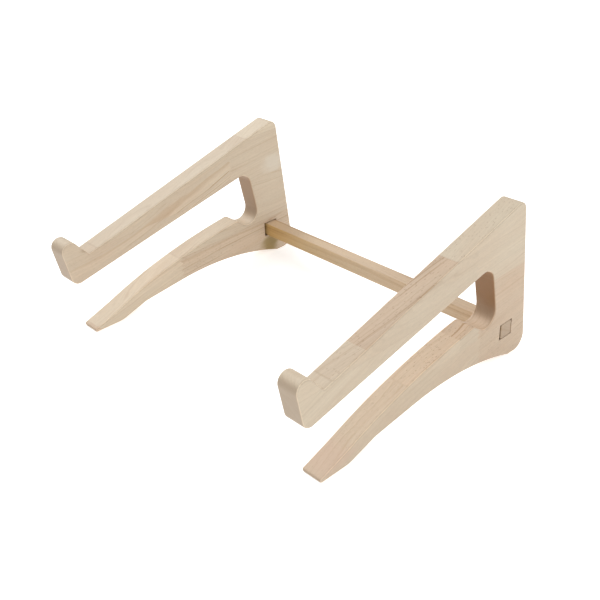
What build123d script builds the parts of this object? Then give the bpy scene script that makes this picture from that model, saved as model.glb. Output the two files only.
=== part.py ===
from build123d import *

import os
from math import acos, atan2, cos, degrees, hypot, radians, sin

# Laptop stand that comes apart into three: two side panels of edge-glued rubberwood, each cut to a
# "<" outline with a hook at its front, and one square crossbar that passes through both of them.
# Millimetres. X runs across the stand, Y from the hooks to the back, Z up from the table.
# The origin is under the middle of the stand, on the table.

# Overall sizes
STAND_WIDTH = 284.0
STAND_DEPTH = 240.0
STAND_HEIGHT = 128.0
PANEL_THICKNESS = 18.0

# Arm, which carries the laptop: its top face, its underside and the post behind it
ARM_SLOPE = 16.0
UNDERSIDE_SLOPE = 12.5
ARM_ROOT_DEPTH = 30.3
BACK_LEAN = 6.3
SLOT_WALL_LEAN = 11.0
POST_WIDTH = 36.0

# Hook at the front of the arm. It rises from the line of the arm's top face
HOOK_RISE = 19.4
HOOK_FRONT_LEAN = 10.1
HOOK_INNER_SLOPE = 51.5

# Leg: its toe, its curved top, the pocket behind its crest and the arch under it
TOE_SETBACK = 16.9
TOE_HEIGHT = 3.0
TOE_FLAT_LENGTH = 26.3
TOE_TOP_LENGTH = 26.1
TOE_TOP_RISE = 9.4
LEG_TOP_START_SLOPE = 23.0
LEG_TOP_END_SLOPE = 7.5
CREST_RISE = 7.5
CREST_SLOPE = 37.0
POCKET_OVER_MORTISE = 5.9
ARCH_HEIGHT = 14.5
ARCH_FROM_TOE = 38.2
HEEL_LENGTH = 19.1
TOE_LIFT = 8.0
TOE_LIFT_LENGTH = 25.7

# Rounding of the outline
TOP_RADIUS = 7.0
HEEL_RADIUS = 11.5
HOOK_TIP_RADIUS = 7.4
HOOK_ROOT_RADIUS = 1.5
CHIN_RADIUS = 7.0
SLOT_RADIUS = 10.0
POCKET_RADIUS = 10.6
CREST_RADIUS = 5.0
TOE_RADIUS = 1.45
TOE_LIFT_RADIUS = 24.0
TOE_TOP_BLEND_RADIUS = 60.0
EDGE_ROUND = 1.4

# Crossbar and the mortise it passes through. The bar lies on the floor of the mortise and against
# its rear wall, so the slack shows in front of the bar and above it.
BAR_SIZE = 12.4
BAR_EDGE_ROUND = 1.5
BAR_END_CHAMFER = 0.4
BAR_END_RECESS = 0.2
BAR_FIT = 0.1
SLACK_FRONT = 2.4
SLACK_ABOVE = 1.0
MORTISE_FROM_BACK = 20.0
MORTISE_FLOOR_HEIGHT = 19.4

# Glue lines between the staves of each panel. The lowest runs from over the toe to over the
# mortise, the next from over the root of the hook to under the top of the slot, and the highest
# leaves a stave of this depth under the top of the panel
GLUE_OVER_HOOK_ROOT = 2.0
TOP_GLUE_TILT = 1.5
RIGHT_GLUE_OVER_TOE = 18.4
RIGHT_GLUE_OVER_MORTISE = 1.8
RIGHT_GLUE_UNDER_SLOT = 12.5
RIGHT_TOP_STAVE_DEPTH = 18.0
LEFT_GLUE_OVER_TOE = 19.4
LEFT_GLUE_OVER_MORTISE = 4.4
LEFT_GLUE_UNDER_SLOT = 9.5
LEFT_TOP_STAVE_DEPTH = 7.3


def along(point, angle, distance):
    """The point at a distance from another, in the direction of an angle in degrees."""
    return (point[0] + distance * cos(radians(angle)), point[1] + distance * sin(radians(angle)))


def meet(point_a, angle_a, point_b, angle_b):
    """Where the line through point_a at angle_a crosses the line through point_b at angle_b."""
    step_y, step_z = point_b[0] - point_a[0], point_b[1] - point_a[1]
    across = sin(radians(angle_b - angle_a))
    distance = (step_y * sin(radians(angle_b)) - step_z * cos(radians(angle_b))) / across
    return along(point_a, angle_a, distance)


# Crossbar and mortise
heel_center = (STAND_DEPTH / 2 - HEEL_RADIUS, HEEL_RADIUS)
back_angle = 90 + BACK_LEAN
back_point = along(heel_center, back_angle - 90, HEEL_RADIUS)
heel_corner = meet(back_point, back_angle, (0, 0), 0)
mortise_rear = heel_corner[0] - MORTISE_FROM_BACK
mortise_width = SLACK_FRONT + BAR_SIZE + BAR_FIT
mortise_height = BAR_FIT + BAR_SIZE + SLACK_ABOVE
mortise_top = MORTISE_FLOOR_HEIGHT + mortise_height
mortise_middle = (mortise_rear - mortise_width / 2, MORTISE_FLOOR_HEIGHT + mortise_height / 2)
bar_middle = (mortise_rear - BAR_FIT - BAR_SIZE / 2, MORTISE_FLOOR_HEIGHT + BAR_FIT + BAR_SIZE / 2)
bar_length = STAND_WIDTH - 2 * BAR_END_RECESS

# The outline's straight edges are tangents to its round corners, and each is a point and an angle
wall_angle = 90 + SLOT_WALL_LEAN
hook_front_angle = 90 + HOOK_FRONT_LEAN
pocket_height = mortise_top + POCKET_OVER_MORTISE
top_center = meet(
    along(back_point, back_angle + 90, TOP_RADIUS), back_angle, (0, STAND_HEIGHT - TOP_RADIUS), 0
)
arm_point = along(top_center, ARM_SLOPE + 90, TOP_RADIUS)
arm_under_tip = meet(arm_point, ARM_SLOPE, (HOOK_TIP_RADIUS - STAND_DEPTH / 2, 0), 90)
tip_center = (arm_under_tip[0], arm_under_tip[1] + HOOK_RISE - HOOK_TIP_RADIUS)
hook_front_point = along(tip_center, hook_front_angle + 90, HOOK_TIP_RADIUS)
hook_inner_point = along(tip_center, 90 - HOOK_INNER_SLOPE, HOOK_TIP_RADIUS)
pocket_back = meet(back_point, back_angle, (0, pocket_height), 0)
wall_point = (pocket_back[0] - POST_WIDTH, pocket_height)

# Corners of the outline before they are rounded
top_corner = meet(back_point, back_angle, arm_point, ARM_SLOPE)
hook_root = meet(arm_point, ARM_SLOPE, hook_inner_point, -HOOK_INNER_SLOPE)
hook_tip = meet(hook_inner_point, -HOOK_INNER_SLOPE, hook_front_point, hook_front_angle)
arm_over_wall = meet(arm_point, ARM_SLOPE, wall_point, wall_angle)
underside_point = (arm_over_wall[0], arm_over_wall[1] - ARM_ROOT_DEPTH)
chin = meet(hook_front_point, hook_front_angle, underside_point, UNDERSIDE_SLOPE)
slot_top = meet(underside_point, UNDERSIDE_SLOPE, wall_point, wall_angle)

# The pocket's arc touches the slot's rear wall, and its lowest point is at the pocket's height
pocket_center = meet(
    along(wall_point, wall_angle + 90, POCKET_RADIUS), wall_angle, (0, pocket_height + POCKET_RADIUS), 0
)
crest_point = along(pocket_center, -90 - CREST_SLOPE, POCKET_RADIUS)
pocket_corner = meet(crest_point, -CREST_SLOPE, wall_point, wall_angle)

# The leg's top runs straight up from the toe and then curves over to the crest
toe_y = TOE_SETBACK - STAND_DEPTH / 2
toe_top = (toe_y, TOE_HEIGHT)
leg_curve_start = (toe_y + TOE_TOP_LENGTH, TOE_HEIGHT + TOE_TOP_RISE)
crest = meet(crest_point, -CREST_SLOPE, (0, pocket_height + CREST_RISE), 0)
leg_curve_tangents = [
    along((0, 0), 180 + slope, 1) for slope in (LEG_TOP_END_SLOPE, LEG_TOP_START_SLOPE)
]

# The arch under the leg is an arc that ends on the table where the heel begins. Its circle would
# reach the table again behind the toe, but a straight line from the toe meets it first
toe_flat_end = (toe_y + TOE_FLAT_LENGTH, 0)
toe_lift_end = (toe_flat_end[0] + TOE_LIFT_LENGTH, TOE_LIFT)
arch_end = (STAND_DEPTH / 2 - HEEL_LENGTH, 0)
arch_half_span = (arch_end[0] - toe_y - ARCH_FROM_TOE) / 2
arch_radius = (arch_half_span**2 + ARCH_HEIGHT**2) / (2 * ARCH_HEIGHT)
arch_center = (arch_end[0] - arch_half_span, ARCH_HEIGHT - arch_radius)
lift_reach = hypot(toe_lift_end[0] - arch_center[0], toe_lift_end[1] - arch_center[1])
lift_direction = degrees(atan2(toe_lift_end[1] - arch_center[1], toe_lift_end[0] - arch_center[0]))
arch_start_direction = lift_direction - degrees(acos(arch_radius / lift_reach))
arch_start = along(arch_center, arch_start_direction, arch_radius)
arch_end_direction = degrees(atan2(arch_end[1] - arch_center[1], arch_end[0] - arch_center[0]))
arch_middle = along(arch_center, (arch_start_direction + arch_end_direction) / 2, arch_radius)

ROUNDED_CORNERS = (
    (top_corner, TOP_RADIUS),
    (heel_corner, HEEL_RADIUS),
    (hook_tip, HOOK_TIP_RADIUS),
    (hook_root, HOOK_ROOT_RADIUS),
    (chin, CHIN_RADIUS),
    (slot_top, SLOT_RADIUS),
    (pocket_corner, POCKET_RADIUS),
    (crest, CREST_RADIUS),
    (leg_curve_start, TOE_TOP_BLEND_RADIUS),
    (toe_top, TOE_RADIUS),
    ((toe_y, 0), TOE_RADIUS),
    (toe_flat_end, TOE_LIFT_RADIUS),
    (toe_lift_end, TOE_LIFT_RADIUS),
)


def panel_blank(low_x):
    """One whole side panel, before its glue lines part it into staves."""
    with BuildPart() as blank:
        with BuildSketch(Plane.YZ.offset(low_x)) as outline:
            with BuildLine():
                Polyline(arch_end, heel_corner, top_corner, hook_root, hook_tip, chin, slot_top,
                         pocket_corner, crest)
                Spline(crest, leg_curve_start, tangents=leg_curve_tangents)
                Polyline(leg_curve_start, toe_top, (toe_y, 0), toe_flat_end, toe_lift_end, arch_start)
                ThreePointArc(arch_start, arch_middle, arch_end)
            make_face()
            for corner, radius in ROUNDED_CORNERS:
                fillet(outline.vertices().sort_by_distance(Vector(corner))[0], radius)
        extrude(amount=PANEL_THICKNESS)
        fillet(blank.faces().filter_by(Axis.X).edges(), EDGE_ROUND)
        with BuildSketch(Plane.YZ.offset(low_x)):
            with Locations(mortise_middle):
                Rectangle(mortise_width, mortise_height)
        extrude(amount=PANEL_THICKNESS, mode=Mode.SUBTRACT)
    return blank.part


def pieces_of(shape, glue, kept_side):
    """The solids of a shape on one side of a glue plane, from the front to the back."""
    with BuildPart() as half:
        add(shape)
        split(bisect_by=glue, keep=kept_side)
    return half.part.solids().sort_by(Axis.Y)


def glue_plane(front, back):
    """The plane square to the panel through two points of its outline's plane."""
    return Plane((0, *front), x_dir=(1, 0, 0), z_dir=(0, front[1] - back[1], back[0] - front[0]))


def glue_planes(over_toe, over_mortise, under_slot, top_stave_depth):
    """A panel's three glue planes, from the lowest up."""
    top_glue_point = (top_center[0], STAND_HEIGHT - top_stave_depth)
    return (
        glue_plane(
            (leg_curve_start[0], leg_curve_start[1] + over_toe), (mortise_rear, mortise_top + over_mortise)
        ),
        glue_plane(
            (hook_root[0], hook_root[1] + GLUE_OVER_HOOK_ROOT), (slot_top[0], slot_top[1] - under_slot)
        ),
        glue_plane(top_glue_point, along(top_glue_point, TOP_GLUE_TILT, 1)),
    )


left_glue = glue_planes(
    LEFT_GLUE_OVER_TOE, LEFT_GLUE_OVER_MORTISE, LEFT_GLUE_UNDER_SLOT, LEFT_TOP_STAVE_DEPTH
)
right_glue = glue_planes(
    RIGHT_GLUE_OVER_TOE, RIGHT_GLUE_OVER_MORTISE, RIGHT_GLUE_UNDER_SLOT, RIGHT_TOP_STAVE_DEPTH
)

os.makedirs("parts", exist_ok=True)

for side, low_x, (low_glue, middle_glue, high_glue) in (
    ("left", -STAND_WIDTH / 2, left_glue),
    ("right", STAND_WIDTH / 2 - PANEL_THICKNESS, right_glue),
):
    blank = panel_blank(low_x)
    arm_front, leg_and_post = pieces_of(blank, middle_glue, Keep.BOTTOM)
    hook, arm_and_top = pieces_of(blank, middle_glue, Keep.TOP)
    staves = {
        "foot_stave": pieces_of(leg_and_post, low_glue, Keep.BOTTOM),
        "arm_front_stave": arm_front,
        "post_stave": pieces_of(leg_and_post, low_glue, Keep.TOP),
        "hook_stave": hook,
        "arm_stave": pieces_of(arm_and_top, high_glue, Keep.BOTTOM),
        "top_stave": pieces_of(arm_and_top, high_glue, Keep.TOP),
    }
    for stave_name, stave_solids in staves.items():
        with BuildPart() as stave:
            add(stave_solids)
        stave.part.label = f"{side}_{stave_name}"
        export_step(stave.part, f"parts/{stave.part.label}.step")

with BuildPart() as crossbar:
    with BuildSketch(Plane.YZ.offset(-bar_length / 2)) as bar_section:
        with Locations(bar_middle):
            Rectangle(BAR_SIZE, BAR_SIZE)
        fillet(bar_section.vertices(), BAR_EDGE_ROUND)
    extrude(amount=bar_length)
    end_faces = crossbar.faces().filter_by(Axis.X)
    chamfer(end_faces.edges(), BAR_END_CHAMFER)
crossbar.part.label = "crossbar"
export_step(crossbar.part, "parts/crossbar.step")
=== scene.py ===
from collections import namedtuple
from math import radians

import bpy
from mathutils import Matrix, Quaternion, Vector


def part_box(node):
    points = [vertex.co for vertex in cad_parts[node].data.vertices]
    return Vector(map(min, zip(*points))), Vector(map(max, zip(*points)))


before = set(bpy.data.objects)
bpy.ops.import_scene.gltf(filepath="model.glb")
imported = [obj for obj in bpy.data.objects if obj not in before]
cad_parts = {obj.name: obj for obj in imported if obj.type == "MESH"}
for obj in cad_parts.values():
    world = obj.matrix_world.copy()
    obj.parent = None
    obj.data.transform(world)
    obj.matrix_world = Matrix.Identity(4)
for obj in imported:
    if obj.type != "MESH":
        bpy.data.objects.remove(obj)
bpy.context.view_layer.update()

bl_info = {
    "name": "Laptop Stand Finish",
    "version": (1, 0, 0),
    "blender": (4, 5, 0),
    "location": "3D View > Sidebar > Laptop Stand",
    "description": "Rubberwood finish and studio for a laptop stand of glued staves",
    "category": "Material",
}

MM = 0.001
LIGHTS_AIM = Vector((0, 0, 0.05))

# One length of board in a stave, from its start in mm along the stand to the next block's start.
# Its grain climbs by tilt and turns out of the panel's plane by cant, in degrees. Its pith lies this
# far from the panel's middle plane and above the table in mm, where the grain crosses the middle of
# the stand. Warmth, figure (its rings and dark streaks) and pores each have a value for the edges
# of the panel and one for its faces. Shade darkens the block, and waves is how far its rings bend.
# The crossbar's block is turned to lie along X, and its pith is placed along the stand and above it
Block = namedtuple("Block", "start tilt cant pith warmth figure pores shade waves")

BLOCKS = {
    "left_foot_stave": (
        Block(-200, 20, 4.0, (-30, 60), (0.90, 0.80), (0.3, 0.3), (0.4, 0.3), 0.00, 0.5),
        Block(-101, 13, 0.5, (-18, -30), (0.25, 0.20), (0.4, 0.7), (0.3, 0.3), -0.05, 1.0),
        Block(-12, 3, 0.5, (-18, -34), (0.80, 0.70), (0.7, 1.0), (0.7, 0.8), 0.02, 0.9),
    ),
    "left_arm_front_stave": (
        Block(-200, 12, 0.5, (-16, 20), (0.45, 0.50), (0.8, 0.9), (0.4, 0.4), 0.02, 1.0),
    ),
    "left_post_stave": (Block(-200, 4, 1.0, (-40, 0), (0.30, 0.30), (0.5, 0.4), (0.3, 0.3), 0.02, 0.8),),
    "left_hook_stave": (Block(-200, 2, 0.0, (-45, 30), (0.30, 0.40), (0.4, 0.4), (0.2, 0.2), 0.02, 0.6),),
    "left_arm_stave": (
        Block(-200, 17, 0.5, (-14, 24), (0.20, 0.30), (0.5, 1.4), (0.3, 0.3), 0.00, 1.3),
        Block(50, 6, 1.0, (-50, 20), (0.30, 0.30), (0.3, 0.35), (0.3, 0.2), 0.02, 0.7),
    ),
    "left_top_stave": (Block(-200, 3, 0.0, (-40, 75), (0.00, 0.05), (0.2, 0.2), (0.2, 0.2), -0.06, 0.4),),
    "right_foot_stave": (
        Block(-200, 9, -7.0, (-45, -40), (0.60, 0.35), (0.5, 0.3), (0.6, 0.2), 0.00, 0.8),
        Block(60, 2, -2.0, (-42, -30), (0.60, 0.80), (0.5, 0.6), (0.5, 0.7), 0.01, 0.8),
    ),
    "right_arm_front_stave": (
        Block(-200, 14, -2.0, (-50, 20), (0.25, 0.20), (0.3, 0.25), (0.3, 0.2), 0.00, 0.6),
    ),
    "right_post_stave": (
        Block(-200, 8, -4.0, (-42, 10), (0.80, 0.25), (0.5, 0.3), (1.2, 0.2), -0.03, 0.7),
        Block(36, 3, -2.0, (-30, -10), (1.60, 0.30), (1.6, 0.2), (1.2, 0.2), 0.03, 0.8),
        Block(58, 2, -2.0, (-38, 20), (1.10, 0.85), (0.4, 0.3), (0.4, 0.3), 0.00, 0.8),
    ),
    "right_hook_stave": (
        Block(-200, 0, -2.0, (-38, 20), (0.15, 0.15), (0.3, 0.2), (0.3, 0.2), -0.02, 0.5),
    ),
    "right_arm_stave": (
        Block(-200, 15, -9.0, (-36, 110), (0.45, 0.25), (0.6, 0.25), (0.8, 0.2), 0.00, 0.7),
        Block(-62, 15, -9.0, (-36, 110), (0.95, 0.25), (1.1, 0.25), (1.2, 0.2), 0.02, 0.7),
        Block(52, 2, -2.0, (-36, 40), (0.35, 0.25), (0.3, 0.3), (0.3, 0.2), 0.00, 0.6),
    ),
    "right_top_stave": (Block(-200, 14, 3.0, (-44, 60), (0.12, 0.15), (0.08, 0.2), (0.9, 0.2), 0.00, 0.5),),
    "crossbar": (Block(-200, 0, 0.0, (117, 66), (0.80, 0.60), (1.0, 1.0), (0.5, 0.3), -0.03, 0.4),),
}

# The fingers between two blocks: how far each reaches and half the distance between them, in mm
FINGER_REACH = 3.0
FINGER_HALF_PITCH = 2.2

# Soft round patches on a stave: the middle's place along and above the table, the half length, the
# half height, how far the wood turns to the colour on the panel's faces and, as a share of that, on
# its edges. The last one is a painted shadow of the crossbar, warmed by light thrown back from it,
# on the left panel under the crossbar
Patch = namedtuple("Patch", "along height length depth strength on_edges colour")
PATCHES = {
    "left_arm_stave": (Patch(101, 89, 15, 10, 0.55, 0.0, (0.620, 0.570, 0.480)),),
    "left_hook_stave": (Patch(-97, 76, 9, 2.5, 0.45, 1.0, (0.330, 0.230, 0.140)),),
    "right_arm_stave": (Patch(-95, 72, 7, 3, 0.50, 1.0, (0.420, 0.320, 0.150)),),
    "right_foot_stave": (Patch(-92, 9, 26, 8, 0.35, 1.0, (0.560, 0.390, 0.300)),),
    # Painted shadow of the crossbar on the left panel below its end
    "left_foot_stave": (Patch(93, 10, 12, 13, 0.90, 0.0, (0.265, 0.182, 0.060)),),
}

# Where the cutter scorched the wood in the slot, and where shade is painted in the mortise, in mm. The rear
# wall of the slot is behind the first pair of places along the stand, and its scorch grows between the
# second pair of heights. The painted shade in the mortise, around the crossbar's end, reaches this far from
# its middle
SLOT_SCORCH = {"left": 0.55, "right": 0.88}
SLOT_WALL_START = (52.0, 56.0)
SLOT_SCORCH_HEIGHTS = (39.0, 60.0)
MORTISE_MIDDLE = (0, 94, 26)
MORTISE_REACH = 9.0

# The painted amber shade of the crossbar, darkest near the left panel, grows from the first place across
# the stand to the second, in mm
AMBER_SHADE_ACROSS = (60.0, -135.0)


class WoodSettings(bpy.types.PropertyGroup):
    """Colours and grain sizes that every stave shares."""

    straw: bpy.props.FloatVectorProperty(
        name="Straw wood", description="Pale yellow wood between the rings", subtype="COLOR",
        size=3, min=0, max=1, default=(0.560, 0.472, 0.355))
    pink: bpy.props.FloatVectorProperty(
        name="Pink wood", description="Warmer wood of some boards", subtype="COLOR",
        size=3, min=0, max=1, default=(0.530, 0.400, 0.285))
    late: bpy.props.FloatVectorProperty(
        name="Late wood", description="Darker wood of the rings", subtype="COLOR",
        size=3, min=0, max=1, default=(0.370, 0.235, 0.130))
    pore: bpy.props.FloatVectorProperty(
        name="Pores", description="Open pores, cut along their length", subtype="COLOR",
        size=3, min=0, max=1, default=(0.250, 0.155, 0.090))
    glue: bpy.props.FloatVectorProperty(
        name="Glue line", description="The hair line where two staves meet", subtype="COLOR",
        size=3, min=0, max=1, default=(0.330, 0.230, 0.150))
    # This colour also paints the shade in the mortise's gap around the crossbar's end
    scorch_and_shade: bpy.props.FloatVectorProperty(
        name="Scorched wood", description="Wood browned by the cutter, in the slot and the mortise",
        subtype="COLOR", size=3, min=0, max=1, default=(0.240, 0.118, 0.046))
    end_grain: bpy.props.FloatVectorProperty(
        name="End grain", description="Darker wood where the grain ends", subtype="COLOR",
        size=3, min=0, max=1, default=(0.330, 0.240, 0.165))
    # Painted warm shade: the crossbar darkens to this towards the left panel, most on its front
    amber_shade: bpy.props.FloatVectorProperty(
        name="Amber lacquer", description="Tint of the crossbar towards its left end", subtype="COLOR",
        size=3, min=0, max=1, default=(0.94, 0.76, 0.33))
    ring_spacing: bpy.props.FloatProperty(
        name="Ring spacing", description="Distance between growth rings, in mm", min=1, default=8.0)
    roughness: bpy.props.FloatProperty(
        name="Roughness", description="Of the thin matt lacquer", subtype="FACTOR",
        min=0, max=1, default=0.52)


class StageSettings(bpy.types.PropertyGroup):
    """The camera, floor and lights of the studio."""

    camera_place: bpy.props.FloatVectorProperty(
        name="Camera place", description="Where the camera stands", subtype="TRANSLATION",
        unit="LENGTH", size=3, default=(0.4583, -0.4001, 0.3918))
    camera_aim: bpy.props.FloatVectorProperty(
        name="Camera aim", description="The point in the middle of the picture", subtype="TRANSLATION",
        unit="LENGTH", size=3, default=(-0.0024, 0.0168, 0.0280))
    camera_roll: bpy.props.FloatProperty(
        name="Camera roll", description="How far the camera leans about its axis", subtype="ANGLE",
        unit="ROTATION", default=radians(-2.7))
    lens: bpy.props.FloatProperty(
        name="Focal length", description="In mm, for a 36 mm sensor", min=1, default=53.42)
    floor_radius: bpy.props.FloatProperty(
        name="Floor radius", description="Radius of the round floor", subtype="DISTANCE",
        unit="LENGTH", min=0, default=6.0)
    floor_colour: bpy.props.FloatVectorProperty(
        name="Floor colour", description="Colour of the floor", subtype="COLOR",
        size=3, min=0, max=1, default=(0.88, 0.88, 0.88))
    floor_glow: bpy.props.FloatProperty(
        name="Floor glow", description="Light that comes through the floor, as on a light table",
        min=0, default=0.50)
    near_place: bpy.props.FloatVectorProperty(
        name="Near light place", description="Where the light on the camera's side hangs",
        subtype="TRANSLATION", unit="LENGTH", size=3, default=(2.2, 0.0, 2.0))
    near_size: bpy.props.FloatProperty(
        name="Near light size", description="Side of the square light on the camera's side",
        subtype="DISTANCE", unit="LENGTH", min=0, default=2.2)
    near_power: bpy.props.FloatProperty(
        name="Near light", description="Power of the large light on the camera's side", subtype="POWER",
        unit="POWER", min=0, default=28.0)
    far_place: bpy.props.FloatVectorProperty(
        name="Far light place", description="Where the light on the far side hangs",
        subtype="TRANSLATION", unit="LENGTH", size=3, default=(-2.6, 0.2, 2.8))
    far_size: bpy.props.FloatProperty(
        name="Far light size", description="Side of the square light on the far side",
        subtype="DISTANCE", unit="LENGTH", min=0, default=2.8)
    far_power: bpy.props.FloatProperty(
        name="Far light", description="Power of the large light on the far side", subtype="POWER",
        unit="POWER", min=0, default=112.0)
    sky: bpy.props.FloatProperty(
        name="Sky", description="Strength of the even light from all round", min=0, default=0.5)


def add_node(tree, kind, inputs=None, **settings):
    """A new node with its settings made, and each input linked to a socket or given a value."""
    node = tree.nodes.new(kind)
    for name, value in settings.items():
        setattr(node, name, value)
    for name, value in (inputs or {}).items():
        if isinstance(value, bpy.types.NodeSocket):
            tree.links.new(value, node.inputs[name])
        else:
            node.inputs[name].default_value = value
    return node


def maths(tree, operation, a, b=0.0, clamp=False):
    """The result socket of a Math node."""
    return add_node(tree, "ShaderNodeMath", {0: a, 1: b}, operation=operation, use_clamp=clamp).outputs[0]


def product(tree, *factors):
    """The product of several values."""
    result = factors[0]
    for factor in factors[1:]:
        result = maths(tree, "MULTIPLY", result, factor)
    return result


def total(tree, *terms):
    """The sum of several values."""
    result = terms[0]
    for term in terms[1:]:
        result = maths(tree, "ADD", result, term)
    return result


def vector_maths(tree, operation, a, b=(0, 0, 0)):
    """The vector socket of a Vector Math node."""
    return add_node(tree, "ShaderNodeVectorMath", {0: a, 1: b}, operation=operation).outputs[0]


def dot(tree, a, b):
    """The dot product of two vectors."""
    node = add_node(tree, "ShaderNodeVectorMath", {0: a, 1: b}, operation="DOT_PRODUCT")
    return node.outputs["Value"]


def length_of(tree, vector):
    """The length of a vector."""
    return add_node(tree, "ShaderNodeVectorMath", {0: vector}, operation="LENGTH").outputs["Value"]


def parts_of(tree, vector):
    """The three sockets of a vector's parts."""
    return add_node(tree, "ShaderNodeSeparateXYZ", {0: vector}).outputs


def noise_of(tree, place, across, along, detail=2.0, roughness=0.5):
    """Noise with features of these sizes in mm across the grain and along it, from 0 to 1."""
    scaled = vector_maths(tree, "MULTIPLY", place, (1 / across, 1 / along, 1 / across))
    noise = add_node(tree, "ShaderNodeTexNoise",
                     {"Vector": scaled, "Scale": 1.0, "Detail": detail, "Roughness": roughness})
    return noise.outputs["Fac"]


def layers_of(tree, depth, size, detail=2.0, roughness=0.5):
    """Noise that only changes with the depth in the tree, with layers of this size in mm."""
    noise = add_node(tree, "ShaderNodeTexNoise",
                     {"W": depth, "Scale": 1 / size, "Detail": detail, "Roughness": roughness},
                     noise_dimensions="1D")
    return noise.outputs["Fac"]


def about_zero(tree, noise):
    """Noise brought to the range from -0.5 to 0.5."""
    return maths(tree, "SUBTRACT", noise, 0.5)


def ramp(tree, value, low, high, bottom=0.0, top=1.0):
    """A value brought smoothly from the range low..high to bottom..top."""
    node = add_node(
        tree, "ShaderNodeMapRange",
        {"Value": value, "From Min": low, "From Max": high, "To Min": bottom, "To Max": top},
        interpolation_type="SMOOTHSTEP")
    return node.outputs[0]


def blend_value(tree, factor, a, b):
    """The value between a and b."""
    return add_node(tree, "ShaderNodeMix", {0: factor, 2: a, 3: b}).outputs[0]


def blend_colour(tree, factor, a, b, mode="MIX"):
    """The colour between a and b, which are sockets 6 and 7 of a Mix node, as its result is 2."""
    node = add_node(tree, "ShaderNodeMix", {0: factor, 6: a, 7: b}, data_type="RGBA", blend_type=mode)
    return node.outputs[2]


def toned(tree, colour, tone):
    """The colour multiplied by a tone."""
    grey = add_node(tree, "ShaderNodeCombineColor", {0: tone, 1: tone, 2: tone}).outputs[0]
    return blend_colour(tree, 1.0, colour, grey, "MULTIPLY")


WOOD_INPUTS = (
    "Seed", "Edge warmth", "Face warmth", "Edge figure", "Face figure", "Edge pores", "Face pores",
    "Shade", "Waves")


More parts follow.
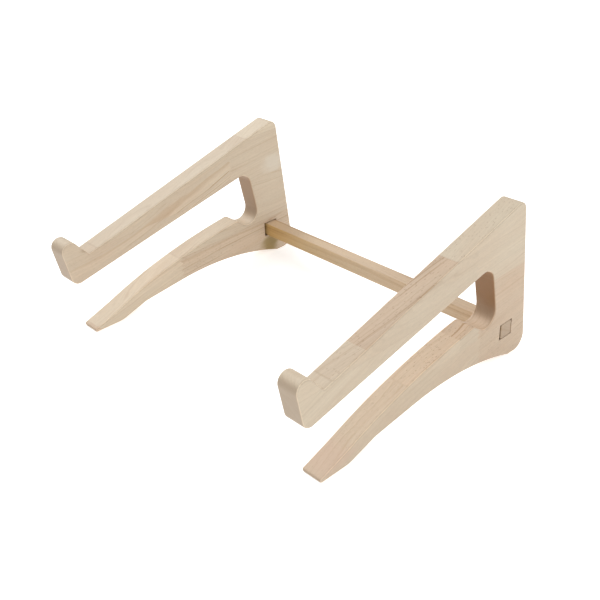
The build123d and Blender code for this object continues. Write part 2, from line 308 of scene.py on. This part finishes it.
def wood_group(wood):
    """Node group of the wood of one block: from a place in mm and a normal to colour and relief."""
    group = bpy.data.node_groups.new("Rubberwood", "ShaderNodeTree")
    for name in ("Position", "Normal", "Pith", "Grain"):
        group.interface.new_socket(name, in_out="INPUT", socket_type="NodeSocketVector")
    for name in WOOD_INPUTS:
        group.interface.new_socket(name, in_out="INPUT", socket_type="NodeSocketFloat")
    group.interface.new_socket("Colour", in_out="OUTPUT", socket_type="NodeSocketColor")
    group.interface.new_socket("Relief", in_out="OUTPUT", socket_type="NodeSocketFloat")
    given = group.nodes.new("NodeGroupInput").outputs

    # Bring the grain to Y and the pith to the Y axis
    centred = vector_maths(group, "SUBTRACT", given["Position"], given["Pith"])
    place, normal = (
        add_node(group, "ShaderNodeVectorRotate", {"Vector": vector, "Rotation": given["Grain"]},
                 rotation_type="EULER_XYZ", invert=True).outputs[0]
        for vector in (centred, given["Normal"]))

    seed = add_node(group, "ShaderNodeCombineXYZ", {1: given["Seed"]}).outputs[0]
    place = vector_maths(group, "ADD", place, seed)

    on_face = ramp(group, maths(group, "ABSOLUTE", parts_of(group, given["Normal"])[0]), 0.45, 0.95)
    warm, figure, porous = (
        blend_value(group, on_face, given["Edge " + name], given["Face " + name])
        for name in ("warmth", "figure", "pores"))

    # Depth is the distance from the pith, made uneven by the tree's own bends
    radius = length_of(group, vector_maths(group, "MULTIPLY", place, (1, 0, 1)))
    bend = about_zero(group, noise_of(group, place, 34, 150, 1.0))
    kink = about_zero(group, noise_of(group, place, 9, 60, 2.0))
    bends = total(group, product(group, bend, 22.0), product(group, kink, 6.0))
    depth = total(group, radius, product(group, bends, given["Waves"]))

    # Each ring darkens slowly outwards and stops short, and some rings are stronger than others
    count = maths(group, "DIVIDE", depth, wood.ring_spacing)
    phase = maths(group, "FRACT", count)
    ring = product(group, maths(group, "POWER", phase, 2.5), ramp(group, phase, 0.90, 1.0, 1.0, 0.0),
                   ramp(group, layers_of(group, depth, 11.0, 1.0), 0.35, 0.65, 0.15))

    # Dark streaks lie at a few depths, and come and go along the grain
    streak = product(group, ramp(group, layers_of(group, depth, 2.4, 2.0, 0.6), 0.55, 0.72),
                     ramp(group, noise_of(group, place, 12, 75, 1.0), 0.40, 0.60))

    # Open pores are short dark dashes, closer together in some places
    cells = add_node(
        group, "ShaderNodeTexVoronoi",
        {"Vector": vector_maths(group, "MULTIPLY", place, (1 / 1.1, 1 / 4.2, 1 / 1.1)), "Scale": 1.0})
    chance = add_node(group, "ShaderNodeSeparateColor", {0: cells.outputs["Color"]}).outputs[0]
    crowd = noise_of(group, place, 6.0, 20.0, 1.0)
    pore = product(group, ramp(group, cells.outputs["Distance"], 0.13, 0.27, 1.0, 0.0),
                   ramp(group, total(group, chance, crowd), 0.55, 0.95))

    broad = about_zero(group, layers_of(group, depth, 9.0, 2.0))
    narrow = about_zero(group, layers_of(group, depth, 1.3, 3.0, 0.6))
    fibre = about_zero(group, noise_of(group, place, 0.6, 22.0, 3.0, 0.6))
    fleck = about_zero(group, noise_of(group, place, 0.8, 2.6, 2.0, 0.6))
    patch = about_zero(group, noise_of(group, place, 18.0, 55.0, 2.0))

    straw, pink, late, dark, end_grain = (
        (*colour, 1.0) for colour in (wood.straw, wood.pink, wood.late, wood.pore, wood.end_grain))
    warmth = maths(group, "ADD", warm, product(group, patch, 0.9), clamp=True)
    colour = blend_colour(group, warmth, straw, pink)
    colour = blend_colour(group, product(group, ring, figure, 0.42), colour, late)
    colour = blend_colour(group, product(group, streak, figure, 0.60), colour, late)
    tone = total(group, 1.0, product(group, broad, figure, 0.25), product(group, narrow, 0.17),
                 product(group, fibre, 0.20), product(group, fleck, 0.16))
    tone = product(group, tone, maths(group, "SUBTRACT", 1.0, given["Shade"]))
    colour = toned(group, colour, tone)
    colour = blend_colour(group, product(group, pore, porous, 0.55), colour, dark)

    # End grain soaks up more lacquer and is darker
    facing = maths(group, "ABSOLUTE", dot(group, normal, (0, 1, 0)))
    colour = blend_colour(group, ramp(group, facing, 0.55, 1.0, 0.0, 0.60), colour, end_grain)

    relief = maths(group, "SUBTRACT", product(group, fibre, 0.6), product(group, pore, porous))
    result = group.nodes.new("NodeGroupOutput")
    group.links.new(colour, result.inputs["Colour"])
    group.links.new(relief, result.inputs["Relief"])
    return group


def glue_lines(node):
    """A point and a slope for each flat joint between a stave and the next, seen from its side."""
    def corners(name):
        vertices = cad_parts[name].data.vertices
        return {tuple(round(value, 6) for value in vertex.co) for vertex in vertices}

    side = node.split("_")[0]
    own = corners(node)
    lines = []
    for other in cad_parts:
        if other == node or not other.startswith(side + "_"):
            continue
        shared = sorted(own & corners(other), key=lambda corner: corner[1])
        if len(shared) < 3:
            continue
        front, back = shared[0], shared[-1]
        lines.append((front, (back[2] - front[2]) / (back[1] - front[1])))
    return lines


def add_blocks(tree, node, group, position, normal):
    """The colour and relief of a stave's blocks, each joined to the one before it with fingers."""
    low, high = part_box(node)
    middle = (low.x + high.x) / 2 / MM
    colour = relief = None
    for number, block in enumerate(BLOCKS[node]):
        if node == "crossbar":
            pith = (0, *block.pith)
            turn = block.cant + 90
        else:
            pith = (middle + block.pith[0], 0, block.pith[1])
            turn = block.cant
        seed = 97.0 * len(node) + 61.0 * number
        values = (seed, *block.warmth, *block.figure, *block.pores, block.shade, block.waves)
        inputs = {
            "Position": position, "Normal": normal, "Pith": pith,
            "Grain": (radians(block.tilt), 0, radians(turn)), **dict(zip(WOOD_INPUTS, values))}
        board = add_node(tree, "ShaderNodeGroup", inputs, node_tree=group).outputs
        if number == 0:
            colour, relief = board["Colour"], board["Relief"]
            continue
        _, along, height = parts_of(tree, position)
        finger = product(
            tree, maths(tree, "PINGPONG", height, FINGER_HALF_PITCH), FINGER_REACH / FINGER_HALF_PITCH)
        past = maths(tree, "SUBTRACT", along, maths(tree, "ADD", block.start, finger))
        begun = ramp(tree, past, -0.2, 0.2)
        colour = blend_colour(tree, begun, colour, board["Colour"])
        relief = blend_value(tree, begun, relief, board["Relief"])
    return colour, relief


def add_patches(tree, node, colour, position, on_face):
    """The colour with the stave's soft patches, one of which is a painted shadow."""
    for patch in PATCHES.get(node, ()):
        offset = vector_maths(tree, "SUBTRACT", position, (0, patch.along, patch.height))
        distance = length_of(
            tree, vector_maths(tree, "MULTIPLY", offset, (0, 1 / patch.length, 1 / patch.depth)))
        uneven = product(tree, about_zero(tree, noise_of(tree, position, 6, 14, 2.0)), 0.9)
        inside = ramp(tree, total(tree, distance, uneven), 0.35, 1.15, patch.strength, 0.0)
        shown = ramp(tree, on_face, 0.0, 1.0, patch.on_edges, 1.0)
        colour = blend_colour(tree, product(tree, inside, shown), colour, (*patch.colour, 1.0))
    return colour


def add_edge_highlight(tree, colour, on_face):
    """The colour with a painted highlight on the rounds along the edges of a panel, which makes them paler.
    """
    # Painted highlight, strongest halfway round each rounded edge
    edge_highlight = product(tree, on_face, maths(tree, "SUBTRACT", 1.0, on_face), 4.0)
    return toned(tree, colour, maths(tree, "ADD", product(tree, edge_highlight, 0.38), 1.0))


def add_scorch_and_shade(tree, side, colour, position, normal, on_face, scorch_and_shade):
    """The colour with the brown that the cutter left in the slot, and the shade painted in the mortise of a
    panel.
    """
    _, along, height = parts_of(tree, position)
    _, backwards, upwards = parts_of(tree, normal)

    # On the rear wall of the slot, most near its top
    burn_and_shade = product(tree, ramp(tree, backwards, -0.9, -0.3, 1.0, 0.0), ramp(tree, along, *SLOT_WALL_START),
                   ramp(tree, height, *SLOT_SCORCH_HEIGHTS, 0.25, 1.0), SLOT_SCORCH[side])
    colour = blend_colour(tree, burn_and_shade, colour, scorch_and_shade)

    # Painted shade in the gap around the crossbar's end, in the scorch colour: on the front wall and the
    # ceiling of the mortise, and a little on its other walls
    cut = ramp(tree, on_face, 0.0, 0.3, 1.0, 0.0)
    off_middle = vector_maths(tree, "ABSOLUTE", vector_maths(tree, "SUBTRACT", position, MORTISE_MIDDLE))
    within = product(tree, *(
        ramp(tree, distance, MORTISE_REACH, MORTISE_REACH + 0.2, 1.0, 0.0)
        for distance in parts_of(tree, off_middle)[1:]))
    shaded_walls = maths(
        tree, "MAXIMUM", ramp(tree, backwards, 0.3, 0.7), ramp(tree, upwards, -0.7, -0.3, 1.0, 0.0))
    # Painted shade inside the mortise
    burn_and_shade = product(tree, cut, within, ramp(tree, shaded_walls, 0.0, 1.0, 0.15, 0.9))
    return blend_colour(tree, burn_and_shade, colour, scorch_and_shade)


def add_crossbar_shading(tree, colour, position, normal, amber_shade):
    """The colour with painted warm shade on the crossbar, most on its front and towards its left end, and a
    painted highlight on its top there.
    """
    _, backwards, upwards = parts_of(tree, normal)
    left = ramp(tree, parts_of(tree, position)[0], *AMBER_SHADE_ACROSS)
    warm_shade = product(tree, maths(tree, "ADD", product(tree, left, left, 0.65), 0.20),
                   ramp(tree, backwards, -0.9, -0.3, 1.0, 0.25))
    colour = blend_colour(tree, warm_shade, colour, amber_shade, "MULTIPLY")
    # Painted highlight: the top of the crossbar is paler towards its left end
    return toned(tree, colour, total(tree, product(tree, ramp(tree, upwards, 0.3, 0.9), left, 0.32), 1.0))


def add_glue(tree, node, colour, place, glue):
    """The colour with a hair line of glue along each joint with the next stave."""
    for point, slope in glue_lines(node):
        joint_normal = Vector((0, -slope, 1)).normalized()
        height = maths(tree, "SUBTRACT", dot(tree, place, joint_normal), joint_normal.dot(point))
        gap = maths(tree, "ABSOLUTE", height)
        colour = blend_colour(tree, ramp(tree, gap, 0.05 * MM, 0.30 * MM, 0.12, 0.0), colour, glue)
    return colour


def stave_material(node, wood, group):
    """The wood of one stave, as a solid texture, so its grain runs through from face to face."""
    material = bpy.data.materials.new(node + "_rubberwood")
    material.use_nodes = True
    tree = material.node_tree
    tree.nodes.clear()
    coordinates = add_node(tree, "ShaderNodeTexCoord").outputs
    place, normal = coordinates["Object"], coordinates["Normal"]
    position = vector_maths(tree, "MULTIPLY", place, (1 / MM, 1 / MM, 1 / MM))
    on_face = ramp(tree, maths(tree, "ABSOLUTE", parts_of(tree, normal)[0]), 0.3, 0.9)

    colour, relief = add_blocks(tree, node, group, position, normal)
    colour = add_patches(tree, node, colour, position, on_face)
    if node == "crossbar":
        # Painted warm shade and highlight on the crossbar
        colour = add_crossbar_shading(tree, colour, position, normal, (*wood.amber_shade, 1.0))
    else:
        side = node.split("_")[0]
        # Painted highlight on the panel's rounded edges
        colour = add_edge_highlight(tree, colour, on_face)
        # Scorch in the slot, and painted shade in the mortise
        colour = add_scorch_and_shade(tree, side, colour, position, normal, on_face, (*wood.scorch_and_shade, 1.0))
    colour = add_glue(tree, node, colour, place, (*wood.glue, 1.0))

    bump = add_node(
        tree, "ShaderNodeBump", {"Strength": 0.3, "Distance": 0.0001, "Height": relief}).outputs[0]
    shader = add_node(
        tree, "ShaderNodeBsdfPrincipled",
        {"Base Color": colour, "Roughness": wood.roughness, "Normal": bump, "Specular IOR Level": 0.3})
    add_node(tree, "ShaderNodeOutputMaterial", {"Surface": shader.outputs[0]})
    return material


def finish_nodes(names, wood):
    """Gives each named CAD node its wood."""
    group = bpy.data.node_groups.get("Rubberwood") or wood_group(wood)
    for name in names:
        material = stave_material(name, wood, group)
        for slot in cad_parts[name].material_slots:
            slot.material = material


class LAPTOPSTAND_OT_left_panel(bpy.types.Operator):
    """Finish the six staves of the left side panel"""

    bl_idname = "laptopstand.left_panel"
    bl_label = "Left Panel"

    def execute(self, context):
        finish_nodes([name for name in BLOCKS if name.startswith("left_")], context.scene.stand_wood)
        return {"FINISHED"}


class LAPTOPSTAND_OT_right_panel(bpy.types.Operator):
    """Finish the six staves of the right side panel"""

    bl_idname = "laptopstand.right_panel"
    bl_label = "Right Panel"

    def execute(self, context):
        finish_nodes([name for name in BLOCKS if name.startswith("right_")], context.scene.stand_wood)
        return {"FINISHED"}


class LAPTOPSTAND_OT_crossbar(bpy.types.Operator):
    """Finish the square crossbar"""

    bl_idname = "laptopstand.crossbar"
    bl_label = "Crossbar"

    def execute(self, context):
        finish_nodes(["crossbar"], context.scene.stand_wood)
        return {"FINISHED"}


def area_light(name, place, size, power):
    """Hangs a square area light at its place, turned to the stand."""
    light = bpy.data.lights.new(name, "AREA")
    light.shape = "SQUARE"
    light.size = size
    light.energy = power
    lamp = bpy.data.objects.new(name, light)
    lamp.location = place
    lamp.rotation_euler = (LIGHTS_AIM - Vector(place)).to_track_quat("-Z", "Y").to_euler()
    bpy.context.scene.collection.objects.link(lamp)


class LAPTOPSTAND_OT_stage(bpy.types.Operator):
    """Set up the floor, lights and camera"""

    bl_idname = "laptopstand.stage"
    bl_label = "Studio"

    def execute(self, context):
        stage = context.scene.stand_stage

        bpy.ops.mesh.primitive_circle_add(vertices=96, radius=stage.floor_radius, fill_type="NGON")
        floor = context.object
        floor.name = "studio_floor"
        paper = bpy.data.materials.new("studio_paper")
        paper.use_nodes = True
        shader = paper.node_tree.nodes["Principled BSDF"]
        shader.inputs["Base Color"].default_value = (*stage.floor_colour, 1.0)
        shader.inputs["Emission Color"].default_value = (1.0, 1.0, 1.0, 1.0)
        shader.inputs["Emission Strength"].default_value = stage.floor_glow
        shader.inputs["Roughness"].default_value = 0.9
        shader.inputs["Specular IOR Level"].default_value = 0.1
        floor.data.materials.append(paper)

        world = bpy.data.worlds.new("studio_sky")
        world.use_nodes = True
        sky = world.node_tree.nodes["Background"]
        sky.inputs["Color"].default_value = (1.0, 1.0, 1.0, 1.0)
        sky.inputs["Strength"].default_value = stage.sky
        context.scene.world = world

        area_light("near_light", stage.near_place, stage.near_size, stage.near_power)
        area_light("far_light", stage.far_place, stage.far_size, stage.far_power)

        camera = bpy.data.cameras.new("camera")
        camera.sensor_width = 36.0
        camera.lens = stage.lens
        camera.clip_start = 0.01
        eye = bpy.data.objects.new("camera", camera)
        look = Vector(stage.camera_aim) - Vector(stage.camera_place)
        turn = look.to_track_quat("-Z", "Y") @ Quaternion((0, 0, 1), stage.camera_roll)
        eye.matrix_world = Matrix.LocRotScale(Vector(stage.camera_place), turn, None)
        context.scene.collection.objects.link(eye)
        context.scene.camera = eye
        context.scene.view_settings.view_transform = "Standard"
        return {"FINISHED"}


class LAPTOPSTAND_PT_sidebar(bpy.types.Panel):
    """Lists the settings and the steps of the laptop stand"""

    bl_idname = "LAPTOPSTAND_PT_sidebar"
    bl_label = "Laptop Stand"
    bl_space_type = "VIEW_3D"
    bl_region_type = "UI"
    bl_category = "Laptop Stand"

    def draw(self, context):
        for settings in (context.scene.stand_wood, context.scene.stand_stage):
            column = self.layout.column(align=True)
            for name in settings.__annotations__:
                column.prop(settings, name)
        for operator in OPERATORS:
            self.layout.operator(operator.bl_idname)


OPERATORS = (
    LAPTOPSTAND_OT_left_panel,
    LAPTOPSTAND_OT_right_panel,
    LAPTOPSTAND_OT_crossbar,
    LAPTOPSTAND_OT_stage,
)
CLASSES = (WoodSettings, StageSettings, *OPERATORS, LAPTOPSTAND_PT_sidebar)


def register():
    for cls in CLASSES:
        bpy.utils.register_class(cls)
    bpy.types.Scene.stand_wood = bpy.props.PointerProperty(type=WoodSettings)
    bpy.types.Scene.stand_stage = bpy.props.PointerProperty(type=StageSettings)


def unregister():
    del bpy.types.Scene.stand_stage
    del bpy.types.Scene.stand_wood
    for cls in reversed(CLASSES):
        bpy.utils.unregister_class(cls)


def main():
    register()
    bpy.ops.laptopstand.left_panel()
    bpy.ops.laptopstand.right_panel()
    bpy.ops.laptopstand.crossbar()
    bpy.ops.laptopstand.stage()


if __name__ == "__main__":
    main()
